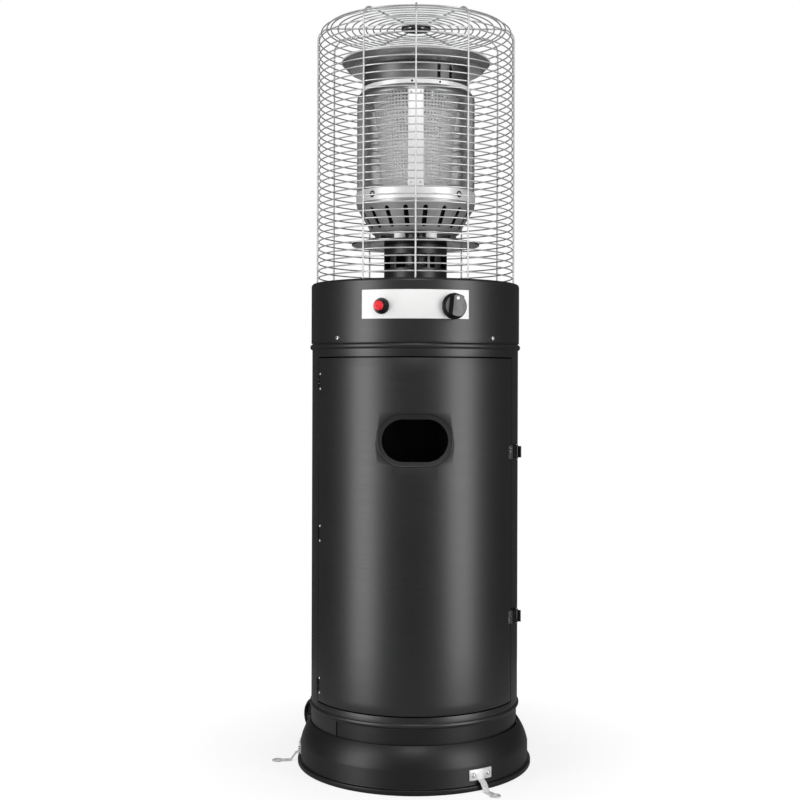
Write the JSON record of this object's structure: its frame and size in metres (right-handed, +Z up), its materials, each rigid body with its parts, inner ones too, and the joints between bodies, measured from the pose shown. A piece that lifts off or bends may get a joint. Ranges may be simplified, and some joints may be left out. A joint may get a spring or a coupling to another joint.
{
  "type": "gas patio heater",
  "caption": "Black gas patio heater: a bottle drum with a hinged door on a round wheeled base, and a steel emitter inside a wire guard.",
  "frame": {"origin": "on the floor, under the centre of the round base", "axes": "+Z up along the heater's axis, -Y towards the controls and the door, +X to the right seen from the front"},
  "size_m": [0.4856, 0.4909, 1.3834],
  "materials": {
    "black_paint": "satin powder coat",
    "black_plastic": "fine grained",
    "wheel_plastic": "satin",
    "zinc_steel": "zinc plated",
    "chrome_plate": "bright plated",
    "bright_steel": "polished",
    "stainless": "satin",
    "brass": "turned",
    "red_plastic": "glossy",
    "ceramic": "glazed ceramic"
  },
  "bodies": {
    "heater": {"base_pan": "black_paint", "bottle_tray": "black_paint", "base_collar": "black_paint", "collar_screws": "black_plastic", "ground_brackets": "chrome_plate", "bracket_screws": "chrome_plate", "wheel_bracket": "black_paint", "wheel_axle": "zinc_steel", "axle_caps": "black_plastic", "drum_shell": "black_paint", "hinge_leaves_drum": "zinc_steel", "hinge_pins": "zinc_steel", "latch_bases": "black_plastic", "latch_pins": "zinc_steel", "control_housing": "black_paint", "housing_screws": "zinc_steel", "burner_deck": "black_paint", "control_fascia": "bright_steel", "igniter_bezel": "black_plastic", "igniter_nut": "black_plastic", "igniter_body": "black_plastic", "gas_valve": "zinc_steel", "gas_inlet_nipple": "brass", "main_gas_pipe": "brass", "pilot_gas_pipe": "zinc_steel", "thermocouple": "brass", "pilot_burner": "zinc_steel", "ignition_electrode": "ceramic", "tilt_switch": "black_plastic", "burner_jet": "brass", "burner_venturi": "stainless", "burner_head": "stainless", "burner_neck": "black_paint", "heat_shield_disc": "stainless", "burner_base_ring": "stainless", "burner_bowl": "stainless", "emitter_lower_band": "bright_steel", "band_screws": "zinc_steel", "emitter_screen": "stainless", "flame_cone": "stainless", "emitter_top_band": "bright_steel", "exhaust_neck": "stainless", "top_reflector": "stainless", "guard_side_rings": "chrome_plate", "guard_top_rings": "chrome_plate", "guard_uprights": "chrome_plate", "guard_hub": "black_plastic", "guard_clips": "zinc_steel"},
    "door": {"door_panel": "black_paint", "hinge_leaves_door": "zinc_steel", "hinge_rivets": "zinc_steel", "latch_keepers": "chrome_plate"},
    "latch_upper": {"latch_lever_upper": "black_plastic"},
    "latch_lower": {"latch_lever_lower": "black_plastic"},
    "igniter": {"igniter_button": "red_plastic"},
    "plunger": {"valve_plunger": "brass"},
    "knob": {"control_knob": "black_plastic", "valve_stem": "zinc_steel"},
    "left_wheel": {"wheel_left": "wheel_plastic"},
    "right_wheel": {"wheel_right": "wheel_plastic"}
  },
  "joints": [
    {"name": "door_swing", "type": "hinge", "parent": "heater", "child": "door", "pos_m": [-0.17633, -0.0809, 0.437], "axis": [0, 0, -1], "range_deg": [0, 115]},
    {"name": "upper_latch_turn", "type": "hinge", "parent": "heater", "child": "latch_upper", "pos_m": [0.18699, -0.06954, 0.586], "axis": [0, 0, 1], "range_deg": [0, 85]},
    {"name": "lower_latch_turn", "type": "hinge", "parent": "heater", "child": "latch_lower", "pos_m": [0.18699, -0.06954, 0.285], "axis": [0, 0, 1], "range_deg": [0, 85]},
    {"name": "igniter_press", "type": "slide", "parent": "heater", "child": "igniter", "axis": [0.299, 0.9542, 0], "range_m": [0, 0.006], "stiffness_N_per_m": 800, "springref_m": -0.002},
    {"name": "knob_press", "type": "slide", "parent": "heater", "child": "plunger", "axis": [-0.3355, 0.9421, 0], "range_m": [0, 0.004], "stiffness_N_per_m": 1200, "springref_m": -0.003},
    {"name": "knob_turn", "type": "hinge", "parent": "plunger", "child": "knob", "pos_m": [0.06613, -0.18573, 0.846], "axis": [0.3355, -0.9421, 0], "range_deg": [0, 150]},
    {"name": "left_wheel_roll", "type": "hinge", "parent": "heater", "child": "left_wheel", "pos_m": [-0.14853, 0.1971, 0.039], "axis": [-0.7986, -0.6018, 0], "continuous": true},
    {"name": "right_wheel_roll", "type": "hinge", "parent": "heater", "child": "right_wheel", "pos_m": [-0.14853, 0.1971, 0.039], "axis": [-0.7986, -0.6018, 0], "continuous": true}
  ]
}
